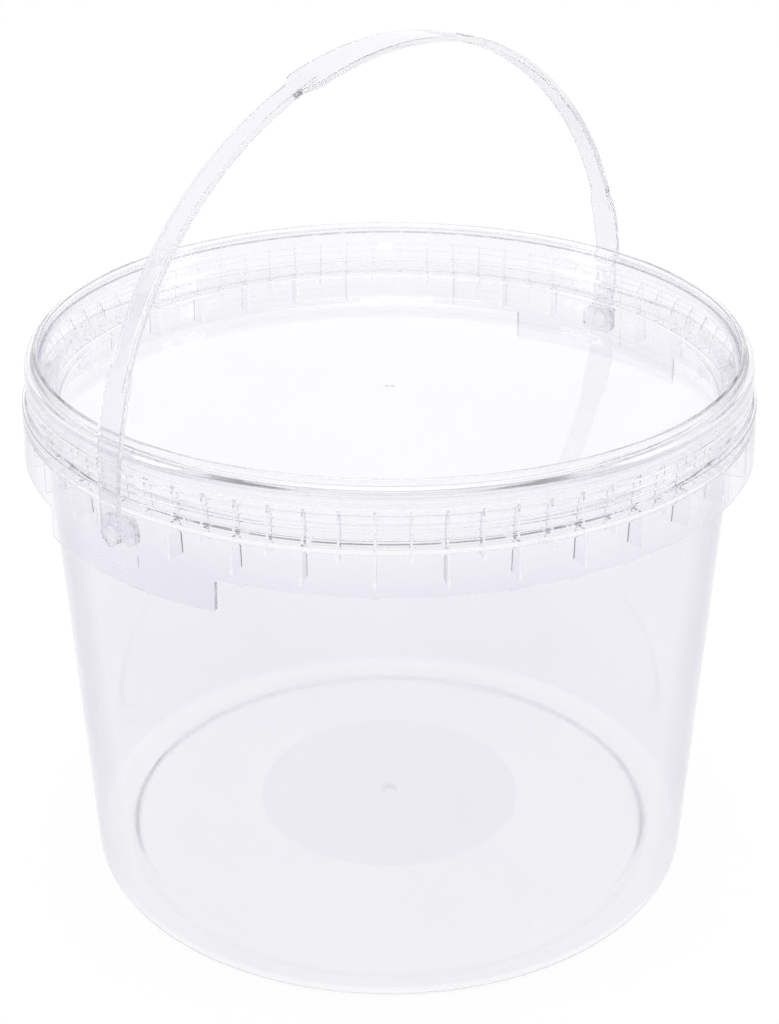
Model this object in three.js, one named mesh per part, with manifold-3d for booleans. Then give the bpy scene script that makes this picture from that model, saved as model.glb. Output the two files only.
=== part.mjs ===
import * as THREE from 'three';
import { mergeVertices } from 'three/addons/utils/BufferGeometryUtils.js';
import Module from 'manifold-3d';

// A round snap-lid pail of clear polypropylene, in millimetres: a tub, a lid and a bail, each one
// moulding. It stands on z = 0 with its axis on Z, and the bail hinges about the X direction.

// How round things are divided
const TURN_FACETS = 72;
const CORNER_STEPS = 3;
const PIN_FACETS = 20;
const ARCH_STEPS = 40;
const ARM_STEPS = 14;
const END_STEPS = 6;
const FULL_TURN = Math.PI * 2;

// One overrun for every cut, so that a cutter never ends on a face that it cuts
const OVERRUN = 2;

// Tub: tapered wall, foot ring and domed floor
const TUB_BASE_RADIUS = 122.1;
const WALL_TAPER_SHARE = 0.0494;
const WALL = 1.4;
const FLOOR = 1.5;
const RIM_HEIGHT = 214.2;
const FOOT_CORNER = 4;
const FOOT_RING_WIDTH = 11.2;
const FOOT_STEP = 3.4;
const FOOT_STEP_RUN = 1.4;
const FLOOR_DOME = 6.6;
const CENTRE_DISC_RADIUS = 53.6;

// Tub rim: the wall flares to the lip, which carries the snap bead. Drops are measured down from
// the top of the lip.
const LIP_FLARE = 2.5;
const FLARE_DROP = 11.2;
const NECK_DROP = 6.7;
const BEAD_DROP = 3.3;
const BEAD_HEIGHT = 1.6;
const BEAD_REACH = 0.6;
const LIP_CHAMFER = 0.7;

// Tub apron: a skirt on a flange round the rim, deeper at the two bail seats
const FLANGE = 1.6;
const FLANGE_DROP = 21;
const APRON_WALL = 1.2;
const APRON_TOP_DROP = 15.2;
const APRON_DROP = 36.2;
const APRON_LEAN = 0.7;
const SEAT_DROP = 47.9;
const SEAT_HALF_ANGLE = 17.5;
const SEAT_CORNER = 1.5;
const APRON_CLEARANCE = 0.45;

// A pad inside the apron backs each of the bail's two holes
const HINGE_PAD = 0.4;
const HINGE_PAD_WIDTH = 20.3;
const HINGE_PAD_DROP = 41.3;

// Tub ribs under the flange, long and short by turns, and fins above it on the same spokes
const RIB_SPOKES = 72;
const RIB = 1;
const LONG_RIB = 12.2;
const SHORT_RIB = 3.2;
const FIN = 0.8;
const FIN_CLEARANCE = 0.4;
const SPOKES_LEFT_OUT = 1;

// Lid: panel in a recess, crest ring, rounded shoulder and a beaded band that hangs in the gutter
const LID_WALL = 1.2;
const PLUG_CLEARANCE = 0.5;
const PANEL_DEPTH = 22;
const RECESS_GAP = 4.3;
const RECESS_DRAFT = 1.4;
const RECESS_LEDGE = 9.6;
const RECESS_SHOULDER = 5.9;
const SEAT_CLEARANCE = 0.4;
const CREST_HEIGHT = 3.4;
const CREST_WIDTH = 1.9;
const CREASE_DROP = 2.1;
const SHOULDER_DROP = 6.2;
const BAND = 1.15;
const BAND_CLEARANCE = 0.7;
const BAND_GAP = 0.6;
const SNAP_REACH = 0.4;
const SNAP_DROP = 9.2;
const SNAP_HEIGHT = 1.8;
const GROOVES = 3;
const GROOVE_PITCH = 3;
const GROOVE_HEIGHT = 0.9;
const GROOVE_DEPTH = 0.35;
const GROOVE_DROP = 10.6;

// Bail: flat strap with a wide grip and wide feet, joined by narrower, thicker arms
const STRAP = 2.2;
const BAIL_CLEARANCE = 0.3;
const PIVOT_DROP = 8.8;
const LEG_HEIGHT = 12.6;
const ARCH_RISE = 130;
const FOOT_WIDTH = 11.4;
const FOOT_END_WIDTH = 9;
const FOOT_END_LENGTH = 14;
const FOOT_FLARE = 24;
const FOOT_LENGTH = 60.6;
const SHOULDER_TAPER = 9;
const ARM = 2.8;
const ARM_WIDTH = 8.2;
const ARM_LAP = 10;
const ARM_EDGE = 0.4;
const GRIP_WIDTH = 16;
const GRIP_LENGTH = 102;

// Bail hinge: a neck through the skirt, with a hammer head behind it
const NECK_RADIUS = 3;
const NECK_CLEARANCE = 0.6;
const HAMMER_WIDTH = 15;
const HAMMER_HEIGHT = 9.4;
const HAMMER = 2.4;
const HAMMER_CORNER = 3;
const HAMMER_CLEARANCE = 1.5;

// Finish of the mouldings
const PLASTIC = { color: 0xeeeef4, roughness: 0.12, metalness: 0, transparent: true, opacity: 0.35 };
const BAIL_PLASTIC = { color: 0xeaeaf0, roughness: 0.3, metalness: 0, transparent: true, opacity: 0.55 };

// Heights that more than one piece uses
const heights = {
  flare: RIM_HEIGHT - FLARE_DROP,
  neck: RIM_HEIGHT - NECK_DROP,
  bead: RIM_HEIGHT - BEAD_DROP,
  flangeLow: RIM_HEIGHT - FLANGE_DROP,
  flangeTop: RIM_HEIGHT - FLANGE_DROP + FLANGE,
  apronTop: RIM_HEIGHT - APRON_TOP_DROP,
  apronLow: RIM_HEIGHT - APRON_DROP,
  seatLow: RIM_HEIGHT - SEAT_DROP,
  padLow: RIM_HEIGHT - HINGE_PAD_DROP,
  pivot:RIM_HEIGHT - FLANGE_DROP - PIVOT_DROP,
  lidRoof: RIM_HEIGHT + SEAT_CLEARANCE,
  crest: RIM_HEIGHT + SEAT_CLEARANCE + CREST_HEIGHT,
};

// Radii that more than one piece uses
const wallOuter = (z) => TUB_BASE_RADIUS + WALL_TAPER_SHARE * z;
const wallInner = (z) => wallOuter(z) - WALL;
const radii = {
  lipOuter: wallOuter(heights.flare) + LIP_FLARE,
};
radii.lipInner = radii.lipOuter - WALL;
radii.bead = radii.lipOuter + BEAD_REACH;
radii.bandInner = radii.bead + BAND_CLEARANCE;
radii.bandOuter = radii.bandInner + BAND;
radii.snap = radii.bandInner - SNAP_REACH;
radii.fin = radii.snap - FIN_CLEARANCE;
radii.apronTop = radii.bandOuter + APRON_CLEARANCE + APRON_WALL;

// The apron leans out towards its lower edge
const apronSlope = APRON_LEAN / (APRON_DROP - APRON_TOP_DROP);
const apronOuter = (z) => radii.apronTop + apronSlope * (heights.apronTop - z);
const apronInner = (z) => apronOuter(z) - APRON_WALL;

const point = (x, y) => new THREE.Vector2(x, y);

// Points of a quarter or less of a circle, angles in radians from the outward direction
function arc(centreX, centreY, radius, from, to, steps = CORNER_STEPS) {
  const points = [];
  for (let i = 0; i <= steps; i += 1) {
    const angle = from + ((to - from) * i) / steps;
    points.push(point(centreX + radius * Math.cos(angle), centreY + radius * Math.sin(angle)));
  }
  return points;
}

const wasm = await Module();
wasm.setup();

// A closed geometry as a solid that can be joined and cut
function toSolid(geometry) {
  geometry.deleteAttribute('normal');
  geometry.deleteAttribute('uv');
  const merged = mergeVertices(geometry);
  const corners = merged.index.array;
  const triangles = [];
  for (let i = 0; i < corners.length; i += 3) {
    const [a, b, c] = corners.slice(i, i + 3);
    if (a !== b && b !== c && c !== a) triangles.push(a, b, c);
  }
  return new wasm.Manifold(new wasm.Mesh({
    numProp: 3,
    vertProperties: merged.attributes.position.array,
    triVerts: Uint32Array.from(triangles),
  }));
}

// An outline of radii and heights turned about Z
function turned(outline) {
  const geometry = new THREE.LatheGeometry(outline, TURN_FACETS);
  return toSolid(geometry.rotateX(Math.PI / 2));
}

// A flat shape given thickness along one axis, centred on the plane it is drawn in
function slab(shape, thickness, curveSegments = CORNER_STEPS) {
  const options = { depth: thickness, bevelEnabled: false, curveSegments };
  return new THREE.ExtrudeGeometry(shape, options).translate(0, 0, -thickness / 2);
}

// Drawn in X and Z, thick along Y
const alongY = (shape, thickness, steps) => slab(shape, thickness, steps).rotateX(Math.PI / 2);

// Drawn in Y and Z, thick along X
function alongX(shape, thickness, steps) {
  const turn = new THREE.Matrix4().makeBasis(
    new THREE.Vector3(0, 1, 0),
    new THREE.Vector3(0, 0, 1),
    new THREE.Vector3(1, 0, 0),
  );
  return slab(shape, thickness, steps).applyMatrix4(turn);
}

// A rectangle with its four corners rounded, by its low and high corner
function roundedRectangle(lowX, lowY, highX, highY, corner) {
  const shape = new THREE.Shape();
  shape.absarc(lowX + corner, lowY + corner, corner, Math.PI, Math.PI * 1.5);
  shape.absarc(highX - corner, lowY + corner, corner, Math.PI * 1.5, FULL_TURN);
  shape.absarc(highX - corner, highY - corner, corner, 0, Math.PI / 2);
  shape.absarc(lowX + corner, highY - corner, corner, Math.PI / 2, Math.PI);
  return shape;
}

// A round bar along X
function bar(radius, fromX, toX, z) {
  const geometry = new THREE.CylinderGeometry(radius, radius, toX - fromX, PIN_FACETS);
  geometry.rotateZ(Math.PI / 2);
  return geometry.translate((fromX + toX) / 2, 0, z);
}

// Both ends of the X axis carry the same thing
const bothSides = (make) => [0, Math.PI].map((turn) => toSolid(make().rotateZ(turn)));

// Underside of the floor and foot, then the outside of the wall up to the flange
function tubOutside() {
  const footOuter = wallOuter(FOOT_CORNER) - FOOT_CORNER;
  const footInner = footOuter - FOOT_RING_WIDTH;
  return [
    point(0, FOOT_STEP + FLOOR_DOME),
    point(CENTRE_DISC_RADIUS, FOOT_STEP + FLOOR_DOME),
    point(footInner - FOOT_STEP_RUN, FOOT_STEP),
    point(footInner, 0),
    ...arc(footOuter, FOOT_CORNER, FOOT_CORNER, -Math.PI / 2, 0),
    point(wallOuter(heights.flangeLow), heights.flangeLow),
  ];
}

// The apron's section: down its inner face, round its lower edge and up to its top edge
function apronSection(lowest) {
  const tip = APRON_WALL / 2;
  return [
    point(apronInner(heights.flangeLow), heights.flangeLow),
    point(apronInner(lowest), lowest),
    point(apronOuter(lowest), lowest),
    point(apronOuter(heights.apronTop - tip), heights.apronTop - tip),
    point(apronOuter(heights.apronTop) - tip, heights.apronTop),
    point(apronInner(heights.apronTop), heights.apronTop - tip),
    point(apronInner(heights.flangeTop), heights.flangeTop),
  ];
}

// The wall above the flange, its flare, the snap bead and the lip, over to the inside
function lipSection() {
  return [
    point(wallOuter(heights.flangeTop), heights.flangeTop),
    point(wallOuter(heights.flare), heights.flare),
    point(radii.lipOuter, heights.neck),
    point(radii.lipOuter, heights.bead - BEAD_REACH),
    point(radii.bead, heights.bead),
    point(radii.bead, heights.bead + BEAD_HEIGHT),
    point(radii.lipOuter - LIP_CHAMFER, RIM_HEIGHT),
    point(radii.lipInner + LIP_CHAMFER / 2, RIM_HEIGHT),
    point(radii.lipInner, RIM_HEIGHT - LIP_CHAMFER),
    point(radii.lipInner, heights.neck),
    point(wallInner(heights.flare), heights.flare),
  ];
}

// The inside of the wall down to the channel over the foot ring, then the floor
function tubInside() {
  const footInner = wallOuter(FOOT_CORNER) - FOOT_CORNER - FOOT_RING_WIDTH;
  const corner = FOOT_CORNER - FLOOR;
  const stepTop = FLOOR + FOOT_STEP;
  return [
    ...arc(wallInner(FOOT_CORNER) - corner, FOOT_CORNER, corner, 0, -Math.PI / 2),
    point(footInner + FLOOR, FLOOR),
    point(footInner + FLOOR - FOOT_STEP_RUN, stepTop),
    point(CENTRE_DISC_RADIUS, stepTop + FLOOR_DOME),
    point(0, stepTop + FLOOR_DOME),
  ];
}

// A thin upright plate on a spoke, drawn by radius and height
function plateOnSpoke(outline, thickness, spoke) {
  const geometry = alongY(new THREE.Shape(outline), thickness);
  return toSolid(geometry.rotateZ((FULL_TURN * spoke) / RIB_SPOKES));
}

// Spokes near the two bail seats stay free, so that the hammer head can turn
function spokeIsFree(spoke) {
  const half = RIB_SPOKES / 2;
  const fromSeat = Math.min(spoke % half, half - (spoke % half));
  return fromSeat > SPOKES_LEFT_OUT;
}

// A rib under the flange, from the middle of the wall to the middle of the apron
function rib(spoke) {
  const top = heights.flangeLow + FLANGE / 2;
  const low = heights.flangeLow - (spoke % 2 === 0 ? LONG_RIB : SHORT_RIB);
  const inWall = (z) => point(wallOuter(z) - WALL / 2, z);
  const inApron = (z) => point(apronOuter(z) - APRON_WALL / 2, z);
  return plateOnSpoke([inWall(low), inApron(low), inApron(top), inWall(top)], RIB, spoke);
}

// A fin above the flange, from the middle of the flared wall to just inside the lid's band
function fin(spoke) {
  const low = heights.flangeTop - FLANGE / 2;
  const outline = [
    point(wallOuter(low) - WALL / 2, low),
    point(radii.fin, low),
    point(radii.fin, heights.neck),
    point(radii.lipOuter - WALL / 2, heights.neck),
    point(wallOuter(heights.flare) - WALL / 2, heights.flare),
  ];
  return plateOnSpoke(outline, FIN, spoke);
}

// What is cut off the raw apron: everything below its edge, except at the two bail seats
function apronTrim(lowest) {
  const inner = apronInner(heights.apronLow) - OVERRUN;
  const outer = apronOuter(lowest) + OVERRUN;
  const ring = turned([
    point(inner, heights.apronLow),
    point(inner, lowest - OVERRUN),
    point(outer, lowest - OVERRUN),
    point(outer, heights.apronLow),
    point(inner, heights.apronLow),
  ]);
  const halfWidth = apronOuter(heights.apronLow) * Math.sin(THREE.MathUtils.degToRad(SEAT_HALF_ANGLE));
  const top = heights.flangeLow;
  const seatShape = roundedRectangle(-halfWidth, heights.seatLow, halfWidth, top, SEAT_CORNER);
  const seatDepth = outer;
  const seats = bothSides(() => alongX(seatShape, seatDepth).translate(seatDepth / 2 + OVERRUN, 0, 0));
  return seats.reduce((solid, seat) => solid.subtract(seat), ring);
}

// The pads behind the two holes, from their lower edge up into the flange
function hingePads() {
  const inner = apronInner(heights.flangeLow) - HINGE_PAD;
  const outer = apronInner(heights.padLow) + HINGE_PAD / 4;
  const top = heights.flangeLow + FLANGE / 2;
  const pad = () => {
    const block = new THREE.BoxGeometry(outer - inner, HINGE_PAD_WIDTH, top - heights.padLow);
    return block.translate((inner + outer) / 2, 0, (heights.padLow + top) / 2);
  };
  return bothSides(pad);
}

function buildTub() {
  const lowest = heights.seatLow - OVERRUN;
  const shell = turned([...tubOutside(), ...apronSection(lowest), ...lipSection(), ...tubInside()]);
  const plates = [];
  for (let spoke = 0; spoke < RIB_SPOKES; spoke += 1) {
    plates.push(fin(spoke));
    if (spokeIsFree(spoke)) plates.push(rib(spoke));
  }
  const hole = NECK_RADIUS + NECK_CLEARANCE;
  const holeFrom = apronInner(heights.pivot) - OVERRUN;
  const holeTo = apronOuter(heights.pivot) + OVERRUN;
  const holes = bothSides(() => bar(hole, holeFrom, holeTo, heights.pivot));
  return wasm.Manifold.union([shell, ...plates, ...hingePads()])
    .subtract(apronTrim(lowest))
    .subtract(holes[0])
    .subtract(holes[1]);
}

// Underside of the lid: panel, recess wall, the channel over the lip, and down inside the band
function lidUnderside(panelTop) {
  const panelLow = panelTop - LID_WALL;
  const recess = wallInner(panelLow) - RECESS_GAP;
  const plug = radii.lipInner - PLUG_CLEARANCE;
  const snapTop = heights.crest - SNAP_DROP + SNAP_HEIGHT / 2;
  const ledge = heights.crest - PANEL_DEPTH + RECESS_LEDGE - LID_WALL / 2;
  return [
    point(0, panelLow),
    point(recess, panelLow),
    point(recess + RECESS_DRAFT, ledge),
    point(plug, ledge + RECESS_SHOULDER),
    point(plug, heights.lidRoof),
    point(radii.lipOuter, heights.lidRoof),
    point(radii.bandInner, heights.lidRoof - (radii.bandInner - radii.lipOuter) * 2),
    point(radii.bandInner, snapTop),
    point(radii.snap, snapTop - SNAP_REACH),
    point(radii.snap, snapTop - SNAP_HEIGHT + SNAP_REACH),
    point(radii.bandInner, snapTop - SNAP_HEIGHT),
    point(radii.bandInner, heights.flangeTop + BAND_GAP),
  ];
}

// Outside of the band, with shallow grooves that leave beads between them
function bandOutside() {
  const points = [point(radii.bandOuter, heights.flangeTop + BAND_GAP)];
  for (let i = GROOVES - 1; i >= 0; i -= 1) {
    const top = heights.crest - GROOVE_DROP - GROOVE_PITCH * i;
    points.push(point(radii.bandOuter, top - GROOVE_HEIGHT));
    points.push(point(radii.bandOuter - GROOVE_DEPTH, top - GROOVE_HEIGHT / 2));
    points.push(point(radii.bandOuter, top));
  }
  return points;
}

// Top of the lid: rounded shoulder, crest ring, the recess wall and the panel
function lidTop(panelTop) {
  const crestOuter = radii.lipInner + CREST_WIDTH / 2 - PLUG_CLEARANCE;
  const crestInner = crestOuter - CREST_WIDTH;
  const shoulderLow = heights.crest - SHOULDER_DROP;
  const shoulderTop = heights.crest - CREASE_DROP;
  const shoulderRun = radii.bandOuter - crestOuter;
  const shoulder = [];
  for (let i = 0; i <= CORNER_STEPS; i += 1) {
    const angle = ((Math.PI / 2) * i) / CORNER_STEPS;
    const r = crestOuter + shoulderRun * Math.cos(angle);
    shoulder.push(point(r, shoulderLow + (shoulderTop - shoulderLow) * Math.sin(angle)));
  }
  const recess = wallInner(panelTop - LID_WALL) - RECESS_GAP - LID_WALL;
  const ledge = panelTop + RECESS_LEDGE;
  return [
    ...shoulder,
    point(crestOuter, heights.crest - CREASE_DROP / 4),
    point(crestOuter - CREST_WIDTH / 4, heights.crest),
    point(crestInner + CREST_WIDTH / 4, heights.crest),
    point(crestInner, heights.crest - CREASE_DROP / 4),
    point(radii.lipInner - PLUG_CLEARANCE - LID_WALL, ledge + RECESS_SHOULDER),
    point(recess + RECESS_DRAFT, ledge),
    point(recess, panelTop),
    point(0, panelTop),
  ];
}

function buildLid() {
  const panelTop = heights.crest - PANEL_DEPTH;
  return turned([...lidUnderside(panelTop), ...bandOutside(), ...lidTop(panelTop)]);
}

// The strap stands just off the apron and leans as it does, up to where its middle line turns into
// a half ellipse
const strapInner = (z) => apronOuter(z) + BAIL_CLEARANCE;
const springing = heights.pivot + LEG_HEIGHT;
const arch = { halfSpan: strapInner(springing) + STRAP / 2, springing };

// A band of the arch between two angles, and down both legs to the foot level where one is given
function archBand(thickness, width, steps, from, to, footLevel) {
  const half = thickness / 2;
  const outerX = arch.halfSpan + half;
  const innerX = arch.halfSpan - half;
  const hasLegs = footLevel !== undefined;
  const lean = hasLegs ? apronSlope * (arch.springing - footLevel) : 0;
  const shape = new THREE.Shape();
  if (hasLegs) shape.moveTo(innerX + lean, footLevel).lineTo(outerX + lean, footLevel);
  shape.absellipse(0, arch.springing, outerX, ARCH_RISE + half, from, to, false);
  if (hasLegs) shape.lineTo(-outerX - lean, footLevel).lineTo(-innerX - lean, footLevel);
  shape.absellipse(0, arch.springing, innerX, ARCH_RISE - half, to, from, true);
  return toSolid(alongY(shape, width, steps));
}

// One edge of the strap as it goes in an S curve from one half width to another
function shoulder(fromY, fromHalf, toY, toHalf) {
  const points = [];
  for (let i = 0; i <= END_STEPS; i += 1) {
    const share = i / END_STEPS;
    const easedShare = THREE.MathUtils.smoothstep(share, 0, 1);
    points.push(point(fromHalf + (toHalf - fromHalf) * easedShare, fromY + (toY - fromY) * share));
  }
  return points;
}

const otherEdge = (edge) => edge.map(({ x, y }) => point(-x, y)).reverse();

// Half the width at which the foot and the grip run out under an arm
const lapHalf = ARM_WIDTH / 2 - ARM_EDGE;

// The outline of one foot seen along X: round at the pivot, flared, and drawn in at the top
function footOutline() {
  const endHalf = FOOT_END_WIDTH / 2;
  const half = FOOT_WIDTH / 2;
  const flareLow = heights.pivot + FOOT_END_LENGTH;
  const top = heights.pivot + FOOT_LENGTH;
  const edge = [
    point(endHalf, flareLow),
    point(half, flareLow + FOOT_FLARE),
    ...shoulder(top - SHOULDER_TAPER, half, top, lapHalf),
  ];
  const roundEnd = arc(0, heights.pivot, endHalf, -Math.PI, 0, END_STEPS * 2);
  return new THREE.Shape([...roundEnd, ...edge, ...otherEdge(edge)]);
}

// The outline of the grip, lying along Y, drawn in at both ends
function gripOutline() {
  const half = GRIP_WIDTH / 2;
  const end = GRIP_LENGTH / 2;
  const edge = [
    ...shoulder(-end, lapHalf, SHOULDER_TAPER - end, half),
    ...shoulder(end - SHOULDER_TAPER, half, end, lapHalf),
  ];
  return new THREE.Shape([...edge, ...otherEdge(edge)]);
}

// The two wide feet and the wide grip, cut from one strap
function wideSections() {
  const footLevel = heights.pivot - FOOT_WIDTH;
  const strap = archBand(STRAP, GRIP_WIDTH + OVERRUN, ARCH_STEPS, 0, Math.PI, footLevel);
  const depth = arch.halfSpan;
  const cutFoot = () => alongX(footOutline(), depth).translate(depth / 2 + STRAP * 2, 0, 0);
  const feet = bothSides(cutFoot).map((foot) => strap.intersect(foot));
  const cutGrip = slab(gripOutline(), ARCH_RISE).rotateZ(Math.PI / 2);
  const grip = toSolid(cutGrip.translate(0, 0, arch.springing + ARCH_RISE));
  return [...feet, strap.intersect(grip)];
}

// The arms lap the feet and the grip, and end square on them
function arms() {
  const lowZ = heights.pivot + FOOT_LENGTH - ARM_LAP;
  const low = Math.asin((lowZ - arch.springing) / ARCH_RISE);
  const high = Math.acos((GRIP_LENGTH / 2 - ARM_LAP) / arch.halfSpan);
  return [
    archBand(ARM, ARM_WIDTH, ARM_STEPS, low, high),
    archBand(ARM, ARM_WIDTH, ARM_STEPS, Math.PI - high, Math.PI - low),
  ];
}

// Neck and hammer head at each foot, behind the skirt
function hinges() {
  const outer = apronInner(heights.pivot) - HAMMER_CLEARANCE;
  const inner = outer - HAMMER;
  const half = HAMMER_WIDTH / 2;
  const low = heights.pivot - HAMMER_HEIGHT / 2;
  const headShape = roundedRectangle(-half, low, half, low + HAMMER_HEIGHT, HAMMER_CORNER);
  const head = () => alongX(headShape, HAMMER).translate((inner + outer) / 2, 0, 0);
  const neckEnd = strapInner(heights.pivot) + STRAP / 2;
  const neck = () => bar(NECK_RADIUS, outer - HAMMER / 2, neckEnd, heights.pivot);
  return [...bothSides(head), ...bothSides(neck)];
}

function buildBail() {
  return wasm.Manifold.union([...wideSections(), ...arms(), ...hinges()]);
}

// A solid as a named mesh with its own material
function toMesh(name, solid, finish) {
  const { vertProperties, triVerts } = solid.getMesh();
  const geometry = new THREE.BufferGeometry();
  geometry.setAttribute('position', new THREE.BufferAttribute(vertProperties, 3));
  geometry.setIndex(new THREE.BufferAttribute(triVerts, 1));
  geometry.computeVertexNormals();
  const mesh = new THREE.Mesh(geometry, new THREE.MeshStandardMaterial(finish));
  mesh.name = name;
  return mesh;
}

const pail = new THREE.Group();
pail.name = 'pail';
pail.add(toMesh('tub', buildTub(), PLASTIC));
pail.add(toMesh('lid', buildLid(), PLASTIC));
pail.add(toMesh('bail', buildBail(), BAIL_PLASTIC));

export default pail;
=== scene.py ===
"""A clear snap-lid pail with a moulded bail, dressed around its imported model.

Three mouldings are rebuilt here with the fine curves that clear plastic needs: the tub, the lid and
the bail. Sizes are written in millimetres in the classes and turned into metres by MM. The frame has
+Z up, the pail stands on z = 0, and the bail's hinges lie on the X direction.
"""

import logging
import math
from collections.abc import Callable, Sequence
from dataclasses import dataclass
from enum import Enum

import bmesh
import bpy
from mathutils import Matrix, Vector


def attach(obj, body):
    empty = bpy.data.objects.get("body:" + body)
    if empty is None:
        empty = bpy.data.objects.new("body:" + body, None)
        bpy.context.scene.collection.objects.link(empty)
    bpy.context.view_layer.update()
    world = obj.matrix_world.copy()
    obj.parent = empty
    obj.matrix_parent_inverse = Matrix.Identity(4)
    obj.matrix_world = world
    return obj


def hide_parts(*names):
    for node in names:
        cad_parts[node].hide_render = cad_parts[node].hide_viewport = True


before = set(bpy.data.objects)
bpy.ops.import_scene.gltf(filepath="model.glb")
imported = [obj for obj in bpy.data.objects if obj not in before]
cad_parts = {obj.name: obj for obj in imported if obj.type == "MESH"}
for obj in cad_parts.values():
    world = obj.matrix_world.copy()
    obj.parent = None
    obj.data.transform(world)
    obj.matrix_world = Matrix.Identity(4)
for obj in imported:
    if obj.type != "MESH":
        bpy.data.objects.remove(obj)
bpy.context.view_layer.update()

MM = 0.001
# Points closer than this, in metres, are one point.
WELD = 1e-6
# Shares of a section's straight stretch that a rounding, and its close point, may take.
CUT_LIMIT = 0.45
HOLD_LIMIT = 0.5
HOLD_SHARE = 0.8
LOG = logging.getLogger("pail")


class Join(Enum):
    """How one solid is put together with another."""

    ADD = "UNION"
    CUT = "DIFFERENCE"


class Side(Enum):
    """The two ends of the hinge line, as signs on X."""

    NEAR = -1
    FAR = 1


@dataclass(frozen=True)
class Corner:
    """One corner of a section, in millimetres.

    Args:
        radius: Distance from the axis.
        height: Height above the base.
        fillet: How far from the corner its rounding starts.
    """

    radius: float
    height: float
    fillet: float = 0.0


def rounded(corners: Sequence[Corner], steps: int = 5, hold: float = 0.25) -> list[Vector]:
    """Draws a section with its corners rounded, and a point close beside each rounding.

    The close points keep the straight walls' shading straight right up to a rounding.

    Args:
        corners: The section's corners in order.
        steps: Steps along each rounding.
        hold: How far beside a rounding its close points lie, in millimetres.

    Returns:
        The section's points in metres, in the XZ plane.
    """
    places = [Vector((c.radius, 0.0, c.height)) * MM for c in corners]
    points: list[Vector] = []
    for i, (corner, place) in enumerate(zip(corners, places)):
        if corner.fillet <= 0 or i in (0, len(places) - 1):
            points.append(place)
            continue
        ways = (places[i - 1] - place, places[i + 1] - place)
        cuts = [min(corner.fillet * MM, way.length * CUT_LIMIT) for way in ways]
        holds = [
            min(hold * MM, way.length * HOLD_LIMIT - cut) * HOLD_SHARE
            for way, cut in zip(ways, cuts)
        ]
        start, end = (place + way.normalized() * cut for way, cut in zip(ways, cuts))
        points.append(start + ways[0].normalized() * holds[0])
        for step in range(steps + 1):
            share = step / steps
            points.append(start.lerp(place, share).lerp(place.lerp(end, share), share))
        points.append(end + ways[1].normalized() * holds[1])
    return points


def turned(points: Sequence[Vector], steps: int) -> bmesh.types.BMesh:
    """Turns a section about the Z axis into a closed body.

    Args:
        points: The section, in metres.
        steps: Steps round the full turn.

    Returns:
        The turned body with its faces pointing out.
    """
    mesh = bmesh.new()
    verts = [mesh.verts.new(p) for p in points]
    edges = [mesh.edges.new(pair) for pair in zip(verts, verts[1:])]
    if (points[0] - points[-1]).length > WELD and points[0].x > WELD:
        edges.append(mesh.edges.new((verts[-1], verts[0])))
    bmesh.ops.spin(
        mesh, geom=verts + edges, cent=(0, 0, 0), axis=(0, 0, 1), dvec=(0, 0, 0),
        angle=math.tau, steps=steps, use_merge=True,
    )
    bmesh.ops.remove_doubles(mesh, verts=mesh.verts, dist=WELD)
    bmesh.ops.recalc_face_normals(mesh, faces=mesh.faces)
    return mesh


def extruded(outline: Sequence[Vector], along: Vector) -> bmesh.types.BMesh:
    """Gives a flat outline thickness.

    Args:
        outline: Points of the outline in order, in metres.
        along: The extrusion, from the outline's own plane.

    Returns:
        The closed plate.
    """
    mesh = bmesh.new()
    face = mesh.faces.new([mesh.verts.new(p) for p in outline])
    grown = bmesh.ops.extrude_face_region(mesh, geom=[face])["geom"]
    tops = [item for item in grown if isinstance(item, bmesh.types.BMVert)]
    bmesh.ops.translate(mesh, verts=tops, vec=along)
    bmesh.ops.recalc_face_normals(mesh, faces=mesh.faces)
    return mesh


def block(low: Vector, high: Vector, fillet: float) -> bmesh.types.BMesh:
    """Makes a box with the edges along X rounded.

    Args:
        low: Lowest corner, in metres.
        high: Highest corner, in metres.
        fillet: Radius of the rounded edges, in metres.

    Returns:
        The closed box.
    """
    mesh = bmesh.new()
    bmesh.ops.create_cube(mesh, size=1.0)
    bmesh.ops.scale(mesh, vec=high - low, verts=mesh.verts)
    bmesh.ops.translate(mesh, vec=(low + high) / 2, verts=mesh.verts)
    edges = [e for e in mesh.edges if abs(e.verts[0].co.x - e.verts[1].co.x) > WELD]
    bmesh.ops.bevel(
        mesh, geom=edges, offset=fillet, segments=5, affect="EDGES", profile=0.5, material=-1,
    )
    return mesh


def rod(radius: float, start: float, end: float, height: float, facets: int = 48) -> bmesh.types.BMesh:
    """Makes a round rod along X.

    Args:
        radius: Its radius, in metres.
        start: X of one end.
        end: X of the other end.
        height: Z of its middle line.
        facets: Sides round it.

    Returns:
        The closed rod.
    """
    mesh = bmesh.new()
    bmesh.ops.create_cone(
        mesh, cap_ends=True, segments=facets, radius1=radius, radius2=radius, depth=abs(end - start),
    )
    turn = Matrix.Rotation(math.pi / 2, 3, "Y")
    bmesh.ops.rotate(mesh, verts=mesh.verts, cent=(0, 0, 0), matrix=turn)
    bmesh.ops.translate(mesh, verts=mesh.verts, vec=((start + end) / 2, 0, height))
    return mesh


def to_object(mesh: bmesh.types.BMesh, name: str) -> bpy.types.Object:
    """Puts a bmesh into the scene as an object at the origin and frees it.

    Args:
        mesh: The bmesh, which is used up.
        name: The object's name.

    Returns:
        The object.
    """
    data = bpy.data.meshes.new(name)
    mesh.to_mesh(data)
    mesh.free()
    thing = bpy.data.objects.new(name, data)
    bpy.context.scene.collection.objects.link(thing)
    return thing


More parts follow.
